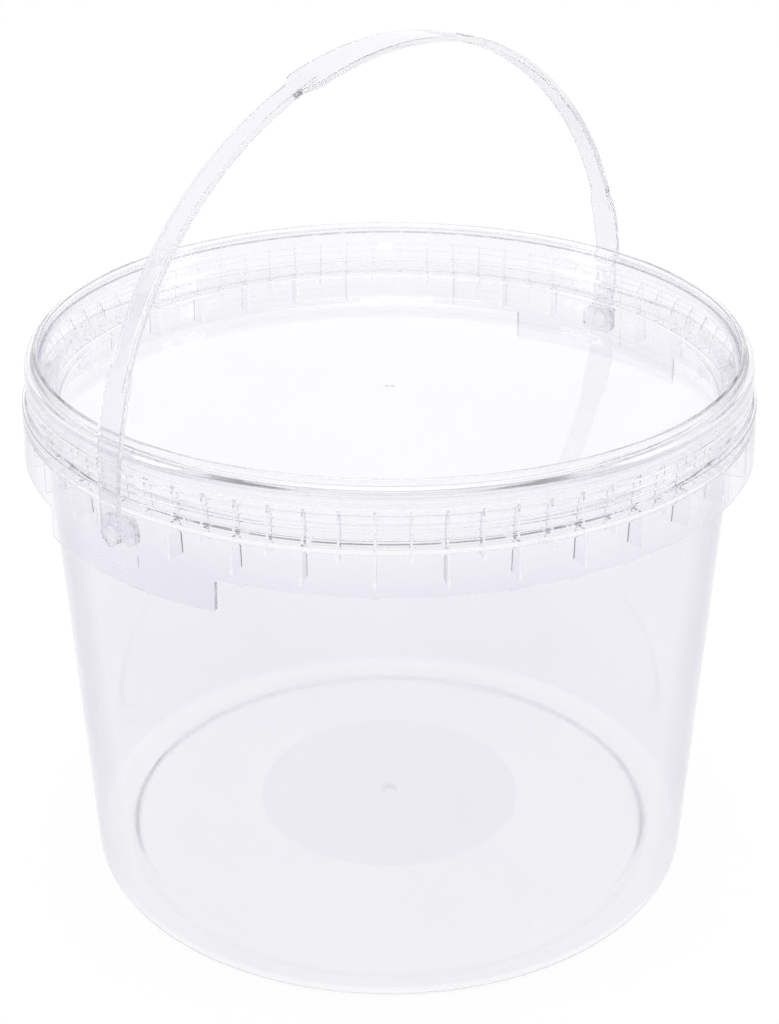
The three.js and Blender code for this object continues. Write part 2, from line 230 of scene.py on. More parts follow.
def put_together(base: bpy.types.Object, tool: bmesh.types.BMesh, how: Join) -> None:
    """Joins a solid to an object, or cuts it out, and applies the result.

    Args:
        base: The object that changes.
        tool: The solid, which is used up.
        how: Whether it is added or cut away.
    """
    helper = to_object(tool, "tool")
    modifier = base.modifiers.new("join", "BOOLEAN")
    modifier.operation = how.value
    modifier.object = helper
    modifier.solver = "MANIFOLD"
    seen = base.evaluated_get(bpy.context.evaluated_depsgraph_get())
    result = bpy.data.meshes.new_from_object(seen)
    base.modifiers.clear()
    old = base.data
    base.data = result
    bpy.data.meshes.remove(old)
    bpy.data.meshes.remove(helper.data)


def gathered(pieces: Sequence[bmesh.types.BMesh]) -> bmesh.types.BMesh:
    """Collects separate solids in one bmesh and frees them.

    Args:
        pieces: The solids, which are used up.

    Returns:
        The bmesh with all of them.
    """
    whole = bmesh.new()
    for piece in pieces:
        data = bpy.data.meshes.new("part")
        piece.to_mesh(data)
        piece.free()
        whole.from_mesh(data)
        bpy.data.meshes.remove(data)
    return whole


def smooth(piece: bpy.types.Object, sharp_from: float = 32.0) -> None:
    """Shades a piece smooth, with edges sharper than an angle in degrees kept crisp."""
    piece.data.shade_smooth()
    piece.data.set_sharp_from_angle(angle=math.radians(sharp_from))


@dataclass(frozen=True)
class Rim:
    """Sizes that the tub, the lid and the bail share, in millimetres."""

    rim_height: float = 214.2
    base_radius: float = 122.1
    taper: float = 0.0494
    wall: float = 1.4
    lip_flare: float = 2.5
    flare_drop: float = 11.2
    neck_drop: float = 6.7
    bead_drop: float = 3.3
    bead_reach: float = 0.6
    flange: float = 1.6
    flange_drop: float = 21.0
    apron_wall: float = 1.2
    apron_top_drop: float = 15.2
    apron_drop: float = 36.2
    apron_lean: float = 0.7
    seat_drop: float = 47.9
    band: float = 1.15
    band_clearance: float = 0.7
    apron_clearance: float = 0.45
    seat_clearance: float = 0.4
    crest_rise: float = 3.4
    pivot_drop: float = 8.8

    def wall_outer(self, height: float) -> float:
        """Outer radius of the tapered wall at a height."""
        return self.base_radius + self.taper * height

    def wall_inner(self, height: float) -> float:
        """Inner radius of the tapered wall at a height."""
        return self.wall_outer(height) - self.wall

    @property
    def lip_outer(self) -> float:
        """Outer radius of the flared lip."""
        return self.wall_outer(self.rim_height - self.flare_drop) + self.lip_flare

    @property
    def lip_inner(self) -> float:
        """Inner radius of the flared lip."""
        return self.lip_outer - self.wall

    @property
    def band_inner(self) -> float:
        """Inner radius of the lid's band."""
        return self.lip_outer + self.bead_reach + self.band_clearance

    @property
    def band_outer(self) -> float:
        """Outer radius of the lid's band."""
        return self.band_inner + self.band

    @property
    def apron_slope(self) -> float:
        """How far the apron leans out for each step down."""
        return self.apron_lean / (self.apron_drop - self.apron_top_drop)

    def apron_outer(self, height: float) -> float:
        """Outer radius of the leaning apron at a height."""
        lean = self.apron_slope * (self.rim_height - self.apron_top_drop - height)
        return self.band_outer + self.apron_clearance + self.apron_wall + lean

    def apron_inner(self, height: float) -> float:
        """Inner radius of the leaning apron at a height."""
        return self.apron_outer(height) - self.apron_wall

    @property
    def flange_low(self) -> float:
        """Underside of the flange."""
        return self.rim_height - self.flange_drop

    @property
    def flange_top(self) -> float:
        """Top face of the flange."""
        return self.flange_low + self.flange

    @property
    def pivot(self) -> float:
        """Height of the bail's pivots."""
        return self.flange_low - self.pivot_drop

    @property
    def crest(self) -> float:
        """Height of the lid's crest."""
        return self.rim_height + self.seat_clearance + self.crest_rise


RIM = Rim()


def link(tree: bpy.types.NodeTree, start: bpy.types.NodeSocket, end: bpy.types.NodeSocket) -> None:
    """Links two sockets of a node tree."""
    tree.links.new(start, end)


class MouldedSurface:
    """The surface that a polished mould leaves: faint flow bands, dull patches and tiny waves."""

    NAME = "moulded_surface"

    @classmethod
    def group(cls) -> bpy.types.NodeTree:
        """Builds the shared node group once.

        Returns:
            The group, with a mask, a roughness and a height as outputs.
        """
        if cls.NAME in bpy.data.node_groups:
            return bpy.data.node_groups[cls.NAME]
        tree = bpy.data.node_groups.new(cls.NAME, "ShaderNodeTree")
        ports = (
            ("Patch Scale", "INPUT", 18.0), ("Wave Scale", "INPUT", 140.0),
            ("Roughness Low", "INPUT", 0.04), ("Roughness High", "INPUT", 0.12),
            ("Mask", "OUTPUT", 0.0), ("Roughness", "OUTPUT", 0.0), ("Height", "OUTPUT", 0.0),
        )
        for name, way, value in ports:
            socket = tree.interface.new_socket(name, in_out=way, socket_type="NodeSocketFloat")
            socket.default_value = value
        nodes = tree.nodes
        inlet = nodes.new("NodeGroupInput")
        outlet = nodes.new("NodeGroupOutput")
        place = nodes.new("ShaderNodeTexCoord")
        patches = nodes.new("ShaderNodeTexNoise")
        patches.inputs["Detail"].default_value = 4.0
        patches.inputs["Roughness"].default_value = 0.55
        waves = nodes.new("ShaderNodeTexNoise")
        waves.inputs["Detail"].default_value = 2.0
        spread = nodes.new("ShaderNodeMapRange")
        spread.inputs["From Min"].default_value = 0.3
        spread.inputs["From Max"].default_value = 0.7
        rough = nodes.new("ShaderNodeMapRange")
        link(tree, place.outputs["Object"], patches.inputs["Vector"])
        link(tree, place.outputs["Object"], waves.inputs["Vector"])
        link(tree, inlet.outputs["Patch Scale"], patches.inputs["Scale"])
        link(tree, inlet.outputs["Wave Scale"], waves.inputs["Scale"])
        link(tree, patches.outputs["Fac"], spread.inputs["Value"])
        link(tree, spread.outputs["Result"], rough.inputs["Value"])
        link(tree, inlet.outputs["Roughness Low"], rough.inputs["To Min"])
        link(tree, inlet.outputs["Roughness High"], rough.inputs["To Max"])
        link(tree, spread.outputs["Result"], outlet.inputs["Mask"])
        link(tree, rough.outputs["Result"], outlet.inputs["Roughness"])
        link(tree, waves.outputs["Fac"], outlet.inputs["Height"])
        return tree


class PlaceMask:
    """A mask that is 1 in a stretch of height, inside a radius about the Z axis."""

    NAME = "place_mask"

    @classmethod
    def group(cls) -> bpy.types.NodeTree:
        """Builds the shared node group once.

        Returns:
            The group, with the mask as its output.
        """
        if cls.NAME in bpy.data.node_groups:
            return bpy.data.node_groups[cls.NAME]
        tree = bpy.data.node_groups.new(cls.NAME, "ShaderNodeTree")
        for name, value in (("Low", 0.0), ("High", 0.01), ("Reach", 0.2), ("Softness", 0.001)):
            socket = tree.interface.new_socket(name, in_out="INPUT", socket_type="NodeSocketFloat")
            socket.default_value = value
        tree.interface.new_socket("Mask", in_out="OUTPUT", socket_type="NodeSocketFloat")
        nodes = tree.nodes
        inlet = nodes.new("NodeGroupInput")
        outlet = nodes.new("NodeGroupOutput")
        place = nodes.new("ShaderNodeTexCoord")
        parts = nodes.new("ShaderNodeSeparateXYZ")
        flat = nodes.new("ShaderNodeVectorMath")
        flat.operation = "MULTIPLY"
        flat.inputs[1].default_value = (1, 1, 0)
        radius = nodes.new("ShaderNodeVectorMath")
        radius.operation = "LENGTH"
        link(tree, place.outputs["Object"], parts.inputs["Vector"])
        link(tree, place.outputs["Object"], flat.inputs[0])
        link(tree, flat.outputs["Vector"], radius.inputs[0])
        height = parts.outputs["Z"]
        softness = inlet.outputs["Softness"]
        mask = cls.step(tree, height, inlet.outputs["Low"], softness, rising=True)
        limits = ((height, "High"), (radius.outputs["Value"], "Reach"))
        for value, limit in limits:
            inside = cls.step(tree, value, inlet.outputs[limit], softness, rising=False)
            both = nodes.new("ShaderNodeMath")
            both.operation = "MULTIPLY"
            link(tree, mask, both.inputs[0])
            link(tree, inside, both.inputs[1])
            mask = both.outputs["Value"]
        link(tree, mask, outlet.inputs["Mask"])
        return tree

    @staticmethod
    def step(
        tree: bpy.types.NodeTree, value: bpy.types.NodeSocket, limit: bpy.types.NodeSocket,
        softness: bpy.types.NodeSocket, rising: bool,
    ) -> bpy.types.NodeSocket:
        """Adds a soft step at a limit.

        Args:
            tree: The tree that it is added to.
            value: What is compared.
            limit: Where the step starts.
            softness: How long the step is.
            rising: Whether it goes from 0 to 1, and not from 1 to 0.

        Returns:
            The step's value.
        """
        end = tree.nodes.new("ShaderNodeMath")
        end.operation = "ADD"
        link(tree, limit, end.inputs[0])
        link(tree, softness, end.inputs[1])
        spread = tree.nodes.new("ShaderNodeMapRange")
        spread.interpolation_type = "SMOOTHSTEP"
        spread.inputs["To Min"].default_value = 0.0 if rising else 1.0
        spread.inputs["To Max"].default_value = 1.0 if rising else 0.0
        link(tree, value, spread.inputs["Value"])
        link(tree, limit, spread.inputs["From Min"])
        link(tree, end.outputs["Value"], spread.inputs["From Max"])
        return spread.outputs["Result"]


@dataclass(frozen=True)
class PaintedLightZone:
    """A part of a moulding whose tone is painted to stand in for the light and shade there. Lengths
    are in millimetres.

    Args:
        low: Height at which it starts.
        high: Height at which it ends.
        reach: Radius that it stays inside.
        softness: How softly it ends.
        colour: The painted tone there: lighter than the plastic for painted light, darker for painted
            shade.
    """

    low: float
    high: float
    reach: float
    softness: float
    colour: tuple[float, float, float]

    def mask(self, tree: bpy.types.NodeTree) -> bpy.types.NodeSocket:
        """Adds the zone's mask to a material.

        Args:
            tree: The material's node tree.

        Returns:
            A socket that is 1 in the zone and 0 outside it.
        """
        place = tree.nodes.new("ShaderNodeGroup")
        place.node_tree = PlaceMask.group()
        limits = {"Low": self.low, "High": self.high, "Reach": self.reach, "Softness": self.softness}
        for name, length in limits.items():
            place.inputs[name].default_value = length * MM
        return place.outputs["Mask"]


@dataclass(frozen=True)
class ClearPlastic:
    """A clear or milky polypropylene, with painted shade where it is seen at a slant.

    Args:
        name: The material's name.
        clear: Colour where the moulding is clearest.
        milky: Colour in its duller patches.
        edge: Painted shade, a darker and more violet colour where the plastic is seen at a slant.
        slant: How far from face on that painted shade starts, from 0 to 1.
        polish: Lowest and highest roughness.
        depth_tint: Colour that thick plastic takes.
        depth: How strongly thickness tints it, per metre.
        passing: Share of light that passes through the surface.
        waves: Height of the tiny waves, in metres.
        painted_light_zones: Parts of the moulding with painted light and shade in their tone.
    """

    name: str
    clear: tuple[float, float, float]
    milky: tuple[float, float, float]
    edge: tuple[float, float, float]
    slant: float
    polish: tuple[float, float]
    depth_tint: tuple[float, float, float]
    depth: float
    passing: float = 1.0
    waves: float = 0.00002
    painted_light_zones: tuple[PaintedLightZone, ...] = ()

    def build(self) -> bpy.types.Material:
        """Builds the node material.

        Returns:
            The material.
        """
        material = bpy.data.materials.new(self.name)
        material.use_nodes = True
        tree = material.node_tree
        shader = tree.nodes["Principled BSDF"]
        shader.inputs["Transmission Weight"].default_value = self.passing
        shader.inputs["IOR"].default_value = 1.49
        surface = tree.nodes.new("ShaderNodeGroup")
        surface.node_tree = MouldedSurface.group()
        surface.inputs["Roughness Low"].default_value = self.polish[0]
        surface.inputs["Roughness High"].default_value = self.polish[1]
        patches = self.mixed(tree, surface.outputs["Mask"])
        patches[0].default_value = (*self.clear, 1.0)
        patches[1].default_value = (*self.milky, 1.0)
        colour = patches[2]
        # Painted light and shade: each zone swaps in its lighter or darker painted tone.
        for zone in self.painted_light_zones:
            painted_light_mix = self.mixed(tree, zone.mask(tree))
            painted_light_mix[1].default_value = (*zone.colour, 1.0)
            link(tree, colour, painted_light_mix[0])
            colour = painted_light_mix[2]
        # Painted shade: towards the silhouette the colour darkens to edge as the Layer Weight's facing
        # grows.
        weight = tree.nodes.new("ShaderNodeLayerWeight")
        slant_shade_share = tree.nodes.new("ShaderNodeMapRange")
        slant_shade_share.inputs["From Min"].default_value = self.slant
        link(tree, weight.outputs["Facing"], slant_shade_share.inputs["Value"])
        painted_slant_shade = self.mixed(tree, slant_shade_share.outputs["Result"])
        painted_slant_shade[1].default_value = (*self.edge, 1.0)
        link(tree, colour, painted_slant_shade[0])
        link(tree, painted_slant_shade[2], shader.inputs["Base Color"])
        bump = tree.nodes.new("ShaderNodeBump")
        bump.inputs["Distance"].default_value = self.waves
        bump.inputs["Strength"].default_value = 0.5
        link(tree, surface.outputs["Roughness"], shader.inputs["Roughness"])
        link(tree, surface.outputs["Height"], bump.inputs["Height"])
        link(tree, bump.outputs["Normal"], shader.inputs["Normal"])
        body = tree.nodes.new("ShaderNodeVolumeAbsorption")
        body.inputs["Color"].default_value = (*self.depth_tint, 1.0)
        body.inputs["Density"].default_value = self.depth
        link(tree, body.outputs["Volume"], tree.nodes["Material Output"].inputs["Volume"])
        return material

    @staticmethod
    def mixed(tree: bpy.types.NodeTree, share: bpy.types.NodeSocket) -> list[bpy.types.NodeSocket]:
        """Adds a mix of two colours.

        Args:
            tree: The material's node tree.
            share: Socket that gives the second colour's share.

        Returns:
            The two colour inputs and the colour output.
        """
        mix = tree.nodes.new("ShaderNodeMix")
        mix.data_type = "RGBA"
        link(tree, share, mix.inputs["Factor"])
        return [socket for socket in (*mix.inputs, *mix.outputs) if socket.type == "RGBA"]


# Radius of the disc in the middle of the tub's floor, in millimetres.
DISC_RADIUS = 53.6
# Painted light, in order: lighter domed floor and foot, darker floor disc as painted shade, and
# lighter rim and apron as a painted highlight.
TUB_PAINTED_LIGHT = (
    PaintedLightZone(low=-5, high=14, reach=117, softness=2, colour=(0.98, 0.978, 0.988)),
    PaintedLightZone(low=-5, high=4, reach=200, softness=2, colour=(0.985, 0.983, 0.992)),
    PaintedLightZone(low=7, high=14, reach=DISC_RADIUS, softness=0.6, colour=(0.94, 0.937, 0.958)),
    PaintedLightZone(low=166, high=240, reach=200, softness=34, colour=(0.988, 0.986, 0.994)),
)
# Each finish's edge colour is painted shade at its slanted silhouettes.
TUB_FINISH = ClearPlastic(
    name="tub_plastic", clear=(0.925, 0.92, 0.952), milky=(0.912, 0.907, 0.942),
    edge=(0.5, 0.49, 0.62), slant=0.65, polish=(0.03, 0.08),
    depth_tint=(0.4, 0.36, 0.6), depth=1.2, painted_light_zones=TUB_PAINTED_LIGHT,
)
LID_FINISH = ClearPlastic(
    name="lid_plastic", clear=(0.992, 0.991, 0.996), milky=(0.986, 0.985, 0.992),
    edge=(0.74, 0.73, 0.82), slant=0.7, polish=(0.02, 0.06),
    depth_tint=(0.4, 0.36, 0.6), depth=0.8,
)
BAIL_FINISH = ClearPlastic(
    name="bail_plastic", clear=(0.94, 0.936, 0.96), milky=(0.925, 0.921, 0.948),
    edge=(0.7, 0.69, 0.81), slant=0.5, polish=(0.06, 0.12),
    depth_tint=(0.4, 0.36, 0.52), depth=2.0, passing=0.985,
)


@dataclass
class Tub:
    """The tub: wall, foot ring, domed floor, snap lip, ribbed apron and the two bail seats.

    Lengths are in millimetres.
    """

    rim: Rim = RIM
    floor: float = 1.5
    foot_corner: float = 4.0
    foot_ring: float = 11.2
    foot_step: float = 3.4
    foot_step_run: float = 1.4
    foot_fillet: float = 0.7
    step_fillet: float = 0.8
    dome: float = 6.6
    dome_fillet: float = 1.2
    disc_radius: float = DISC_RADIUS
    gate_radius: float = 2.4
    gate_depth: float = 0.6
    gate_fillet: float = 0.3
    flange_fillet: float = 0.5
    apron_fillet: float = 0.3
    apron_top_fillet: float = 0.55
    apron_top_inner_fillet: float = 0.5
    flare_fillet: float = 1.2
    bead_height: float = 1.6
    bead_fillet: float = 0.4
    bead_foot_fillet: float = 0.2
    bead_top_fillet: float = 0.6
    lip_lean: float = 0.5
    lip_fillet: float = 0.7
    lip_inner_fillet: float = 0.6
    seat_half_angle: float = 17.5
    seat_corner: float = 1.5
    pad: float = 0.4
    pad_width: float = 20.3
    pad_drop: float = 41.3
    pad_corner: float = 1.2
    spokes: int = 72
    spokes_left_out: int = 1
    rib: float = 1.0
    long_rib: float = 12.2
    short_rib: float = 3.2
    fin: float = 0.8
    fin_clearance: float = 0.8
    hole_radius: float = 3.6
    overrun: float = 2.0
    steps: int = 288

    @property
    def foot_inner(self) -> float:
        """Inner radius of the foot's flat underside."""
        return self.rim.wall_outer(self.foot_corner) - self.foot_corner - self.foot_ring

    def section(self) -> list[Corner]:
        """The whole section, from the middle of the underside round to the middle of the floor."""
        return [*self.underside(), *self.apron(), *self.lip(), *self.inside()]

    def underside(self) -> list[Corner]:
        """Underside of the floor and foot, then the outer wall up to the flange.

        Returns:
            The corners in order.
        """
        rim = self.rim
        under = self.foot_step + self.dome
        return [
            Corner(0, under),
            Corner(self.disc_radius, under, self.dome_fillet),
            Corner(self.foot_inner - self.foot_step_run, self.foot_step, self.step_fillet),
            Corner(self.foot_inner, 0, self.foot_fillet),
            Corner(rim.wall_outer(0), 0, self.foot_corner),
            Corner(rim.wall_outer(rim.flange_low), rim.flange_low, self.flange_fillet),
        ]

    def apron(self) -> list[Corner]:
        """The apron, down its inner face and up its outer face.

        Returns:
            The corners in order.
        """
        rim = self.rim
        low = rim.rim_height - rim.seat_drop
        top = rim.rim_height - rim.apron_top_drop
        return [
            Corner(rim.apron_inner(rim.flange_low), rim.flange_low, self.flange_fillet),
            Corner(rim.apron_inner(low), low, self.apron_fillet),
            Corner(rim.apron_outer(low), low, self.apron_fillet),
            Corner(rim.apron_outer(top), top, self.apron_top_fillet),
            Corner(rim.apron_inner(top), top, self.apron_top_inner_fillet),
            Corner(rim.apron_inner(rim.flange_top), rim.flange_top, self.flange_fillet),
        ]

    def lip(self) -> list[Corner]:
        """The wall above the flange, its flare, the snap bead and the lip.

        Returns:
            The corners in order.
        """
        rim = self.rim
        flare = rim.rim_height - rim.flare_drop
        neck = rim.rim_height - rim.neck_drop
        bead = rim.rim_height - rim.bead_drop
        reach = rim.bead_reach
        return [
            Corner(rim.wall_outer(rim.flange_top), rim.flange_top, self.flange_fillet),
            Corner(rim.wall_outer(flare), flare, self.flare_fillet),
            Corner(rim.lip_outer, neck, self.flare_fillet),
            Corner(rim.lip_outer, bead - reach, self.bead_foot_fillet),
            Corner(rim.lip_outer + reach, bead, self.bead_fillet),
            Corner(rim.lip_outer + reach, bead + self.bead_height, self.bead_top_fillet),
            Corner(rim.lip_outer - self.lip_lean, rim.rim_height, self.lip_fillet),
            Corner(rim.lip_inner, rim.rim_height, self.lip_inner_fillet),
            Corner(rim.lip_inner, neck, self.flare_fillet),
            Corner(rim.wall_inner(flare), flare, self.flare_fillet),
        ]

    def inside(self) -> list[Corner]:
        """The inner wall down to the channel over the foot ring, then the floor.

        Returns:
            The corners in order.
        """
        rim = self.rim
        step_top = self.floor + self.foot_step
        disc = step_top + self.dome
        return [
            Corner(rim.wall_inner(self.floor), self.floor, self.foot_corner - self.floor),
            Corner(self.foot_inner + self.floor, self.floor, self.foot_fillet),
            Corner(self.foot_inner + self.floor - self.foot_step_run, step_top, self.step_fillet),
            Corner(self.disc_radius, disc, self.dome_fillet),
            Corner(self.gate_radius + self.gate_depth, disc, self.gate_fillet),
            Corner(self.gate_radius, disc - self.gate_depth, self.gate_fillet),
            Corner(0, disc - self.gate_depth),
        ]

    def plate(
        self, outline: Sequence[tuple[float, float]], thickness: float, spoke: int,
    ) -> bmesh.types.BMesh:
        """Makes an upright plate on a spoke.

        Args:
            outline: Radius and height of its corners, in millimetres.
            thickness: Its thickness, in millimetres.
            spoke: The spoke's number, counted from +X.

        Returns:
            The plate, turned to its spoke.
        """
        half = thickness / 2
        points = [Vector((r, -half, z)) * MM for r, z in outline]
        mesh = extruded(points, Vector((0, thickness * MM, 0)))
        turn = Matrix.Rotation(math.tau * spoke / self.spokes, 3, "Z")
        bmesh.ops.rotate(mesh, verts=mesh.verts, cent=(0, 0, 0), matrix=turn)
        return mesh

    def rib_plate(self, spoke: int) -> bmesh.types.BMesh:
        """A rib under the flange, between the wall and the apron.

        Args:
            spoke: The spoke's number, counted from +X.

        Returns:
            The rib, with its ends sunk in the wall and the apron.
        """
        rim = self.rim
        top = rim.flange_low + rim.flange / 2
        low = rim.flange_low - (self.short_rib if spoke % 2 else self.long_rib)
        in_wall = [(rim.wall_outer(z) - rim.wall / 2, z) for z in (low, top)]
        in_apron = [(rim.apron_outer(z) - rim.apron_wall / 2, z) for z in (top, low)]
        return self.plate([*in_wall, *in_apron], self.rib, spoke)

    def fin_plate(self, spoke: int) -> bmesh.types.BMesh:
        """A fin above the flange, against the flared wall.

        Args:
            spoke: The spoke's number, counted from +X.

        Returns:
            The fin, with its foot sunk in the flange and its back in the wall.
        """
        rim = self.rim
        low = rim.flange_low + rim.flange * 3 / 4
        flare = rim.rim_height - rim.flare_drop
        neck = rim.rim_height - rim.neck_drop
        reach = rim.band_inner - self.fin_clearance
        outline = [
            (rim.wall_outer(low) - rim.wall / 2, low),
            (reach, low),
            (reach, neck),
            (rim.lip_outer - rim.wall / 2, neck),
            (rim.wall_outer(flare) - rim.wall / 2, flare),
        ]
        return self.plate(outline, self.fin, spoke)

    def is_free(self, spoke: int) -> bool:
        """Whether a spoke is far enough from the bail seats to carry a rib.

        Args:
            spoke: The spoke's number, counted from +X.

        Returns:
            True where it is.
        """
        half = self.spokes // 2
        place = spoke % half
        return min(place, half - place) > self.spokes_left_out

    def hinge_pad(self, side: Side) -> bmesh.types.BMesh:
        """The pad inside the apron that backs a hole of the bail, up into the flange.

        Args:
            side: The end of the hinge line that it stands at.

        Returns:
            The pad, with its back sunk in the apron.
        """
        rim = self.rim
        low = rim.rim_height - self.pad_drop
        top = rim.flange_low + rim.flange / 2
        depths = (rim.apron_inner(rim.flange_low) - self.pad, rim.apron_inner(low) + self.pad / 4)
        ends = sorted(side.value * depth for depth in depths)
        half = self.pad_width / 2
        lowest = Vector((ends[0], -half, low)) * MM
        highest = Vector((ends[1], half, top)) * MM
        return block(lowest, highest, self.pad_corner * MM)

    def apron_trim(self) -> bpy.types.Object:
        """What is cut from the raw apron: all below its edge, except at the two seats.

        Returns:
            The cutting body as an object.
        """
        rim = self.rim
        edge = rim.rim_height - rim.apron_drop
        low = rim.rim_height - rim.seat_drop
        inner = rim.apron_inner(edge) - self.overrun
        outer = rim.apron_outer(low) + self.overrun
        ring = [Corner(inner, edge), Corner(inner, low - self.overrun)]
        ring += [Corner(outer, low - self.overrun), Corner(outer, edge)]
        trim = to_object(turned(rounded(ring), self.steps), "apron_trim")
        half = rim.apron_outer(edge) * math.sin(math.radians(self.seat_half_angle))
        for side in Side:
            ends = sorted((side.value * inner / 2, side.value * (outer + self.overrun)))
            lowest = Vector((ends[0], -half, low)) * MM
            highest = Vector((ends[1], half, edge + self.overrun * 2)) * MM
            put_together(trim, block(lowest, highest, self.seat_corner * MM), Join.CUT)
        return trim

    def build(self) -> bpy.types.Object:
        """Builds and dresses the tub.

        Returns:
            The tub's object.
        """
        rim = self.rim
        tub = to_object(turned(rounded(self.section()), self.steps), "tub_moulding")
        trim = self.apron_trim()
        cutter = bmesh.new()
        cutter.from_mesh(trim.data)
        bpy.data.meshes.remove(trim.data)
        put_together(tub, cutter, Join.CUT)
        plates = [self.rib_plate(n) for n in range(self.spokes) if self.is_free(n)]
        plates += [self.fin_plate(n) for n in range(self.spokes)]
        plates += [self.hinge_pad(side) for side in Side]
        put_together(tub, gathered(plates), Join.ADD)
        for side in Side:
            start = side.value * (rim.apron_inner(rim.pivot) - self.overrun) * MM
            end = side.value * (rim.apron_outer(rim.pivot) + self.overrun) * MM
            hole = rod(self.hole_radius * MM, start, end, rim.pivot * MM)
            put_together(tub, hole, Join.CUT)
        smooth(tub)
        tub.data.materials.clear()
        tub.data.materials.append(TUB_FINISH.build())
        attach(tub, "tub")
        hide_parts("tub")
        return tub


@dataclass
class Lid:
    """The lid: recessed panel, crest ring, rounded shoulder and grooved band.

    Lengths are in millimetres.
    """

    rim: Rim = RIM
    wall: float = 1.2
    plug_clearance: float = 0.5
    panel_depth: float = 22.0
    recess_gap: float = 4.3
    recess_draft: float = 1.4
    recess_ledge: float = 9.6
    recess_shoulder: float = 5.9
    recess_fillet: float = 2.0
    panel_fillet: float = 1.2
    panel_under_fillet: float = 1.6
    channel_fillet: float = 0.5
    channel_outer_fillet: float = 0.8
    crest_width: float = 1.9
    crest_fillet: float = 0.7
    crease_drop: float = 2.1
    shoulder_drop: float = 6.2
    shoulder_steps: int = 10
    band_gap: float = 0.6
    band_fillet: float = 1.0
    band_edge_fillet: float = 0.4
    band_inner_edge_fillet: float = 0.3
    snap_reach: float = 0.4
    snap_drop: float = 9.2
    snap_height: float = 1.8
    snap_fillet: float = 0.3
    snap_foot_fillet: float = 0.2
    grooves: int = 3
    groove_pitch: float = 3.0
    groove_height: float = 0.9
    groove_depth: float = 0.35
    groove_drop: float = 10.6
    groove_fillet: float = 0.25
    gate_radius: float = 2.2
    gate_rise: float = 0.35
    gate_fillet: float = 0.25
    steps: int = 288

    @property
    def panel(self) -> float:
        """Height of the panel's top face."""
        return self.rim.crest - self.panel_depth

    @property
    def crest_outer(self) -> float:
        """Outer radius of the crest ring."""
        return self.rim.lip_inner + self.crest_width / 2 - self.plug_clearance

    @property
    def band_low(self) -> float:
        """Height of the band's lower edge."""
        return self.rim.flange_top + self.band_gap

    def underside(self) -> list[Corner]:
        """Underside of the panel, recess and channel, and the inside of the band.

        Returns:
            The corners in order.
        """
        rim = self.rim
        low = self.panel - self.wall
        recess = rim.wall_inner(low) - self.recess_gap
        plug = rim.lip_inner - self.plug_clearance
        ledge = self.panel + self.recess_ledge - self.wall / 2
        roof = rim.rim_height + rim.seat_clearance
        snap_top = rim.crest - self.snap_drop + self.snap_height / 2
        snap = rim.band_inner - self.snap_reach
        return [
            Corner(0, low),
            Corner(recess, low, self.panel_under_fillet),
            Corner(recess + self.recess_draft, ledge, self.recess_fillet),
            Corner(plug, ledge + self.recess_shoulder, self.recess_fillet),
            Corner(plug, roof, self.channel_fillet),
            Corner(rim.lip_outer, roof, self.channel_outer_fillet),
            Corner(rim.band_inner, roof - (rim.band_inner - rim.lip_outer) * 2, self.band_fillet),
            Corner(rim.band_inner, snap_top, self.snap_foot_fillet),
            Corner(snap, snap_top - self.snap_reach, self.snap_fillet),
            Corner(snap, snap_top - self.snap_height + self.snap_reach, self.snap_fillet),
            Corner(rim.band_inner, snap_top - self.snap_height, self.snap_foot_fillet),
            Corner(rim.band_inner, self.band_low, self.band_inner_edge_fillet),
        ]

    def band_face(self) -> list[Corner]:
        """The outside of the band with its grooves, from the bottom up.

        Returns:
            The corners in order.
        """
        rim = self.rim
        corners = [Corner(rim.band_outer, self.band_low, self.band_edge_fillet)]
        for i in reversed(range(self.grooves)):
            top = rim.crest - self.groove_drop - self.groove_pitch * i
            low = top - self.groove_height
            middle = top - self.groove_height / 2
            corners.append(Corner(rim.band_outer, low, self.groove_fillet))
            corners.append(Corner(rim.band_outer - self.groove_depth, middle, self.groove_fillet))
            corners.append(Corner(rim.band_outer, top, self.groove_fillet))
        return corners

    def shoulder(self) -> list[Corner]:
        """The rounded shoulder from the band up to the crease beside the crest.

        Returns:
            The corners in order, on a quarter of an ellipse.
        """
        rim = self.rim
        low = rim.crest - self.shoulder_drop
        top = rim.crest - self.crease_drop
        corners = []
        for i in range(self.shoulder_steps + 1):
            angle = math.pi / 2 * i / self.shoulder_steps
            radius = self.crest_outer + (rim.band_outer - self.crest_outer) * math.cos(angle)
            corners.append(Corner(radius, low + (top - low) * math.sin(angle)))
        return corners

    def crest(self) -> list[Corner]:
        """The crest ring, the recess wall and the panel.

        Returns:
            The corners in order.
        """
        rim = self.rim
        inner = self.crest_outer - self.crest_width
        recess = rim.wall_inner(self.panel - self.wall) - self.recess_gap - self.wall
        plug = rim.lip_inner - self.plug_clearance - self.wall
        ledge = self.panel + self.recess_ledge
        return [
            Corner(self.crest_outer, rim.crest, self.crest_fillet),
            Corner(inner, rim.crest, self.crest_fillet),
            Corner(plug, ledge + self.recess_shoulder, self.recess_fillet),
            Corner(recess + self.recess_draft, ledge, self.recess_fillet),
            Corner(recess, self.panel, self.panel_fillet),
            Corner(self.gate_radius + self.gate_rise, self.panel, self.gate_fillet),
            Corner(self.gate_radius, self.panel + self.gate_rise, self.gate_fillet),
            Corner(0, self.panel + self.gate_rise),
        ]

    def build(self) -> bpy.types.Object:
        """Builds and dresses the lid.

        Returns:
            The lid's object.
        """
        section = [*self.underside(), *self.band_face(), *self.shoulder(), *self.crest()]
        lid = to_object(turned(rounded(section), self.steps), "lid_moulding")
        smooth(lid)
        lid.data.materials.append(LID_FINISH.build())
        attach(lid, "lid")
        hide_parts("lid")
        return lid


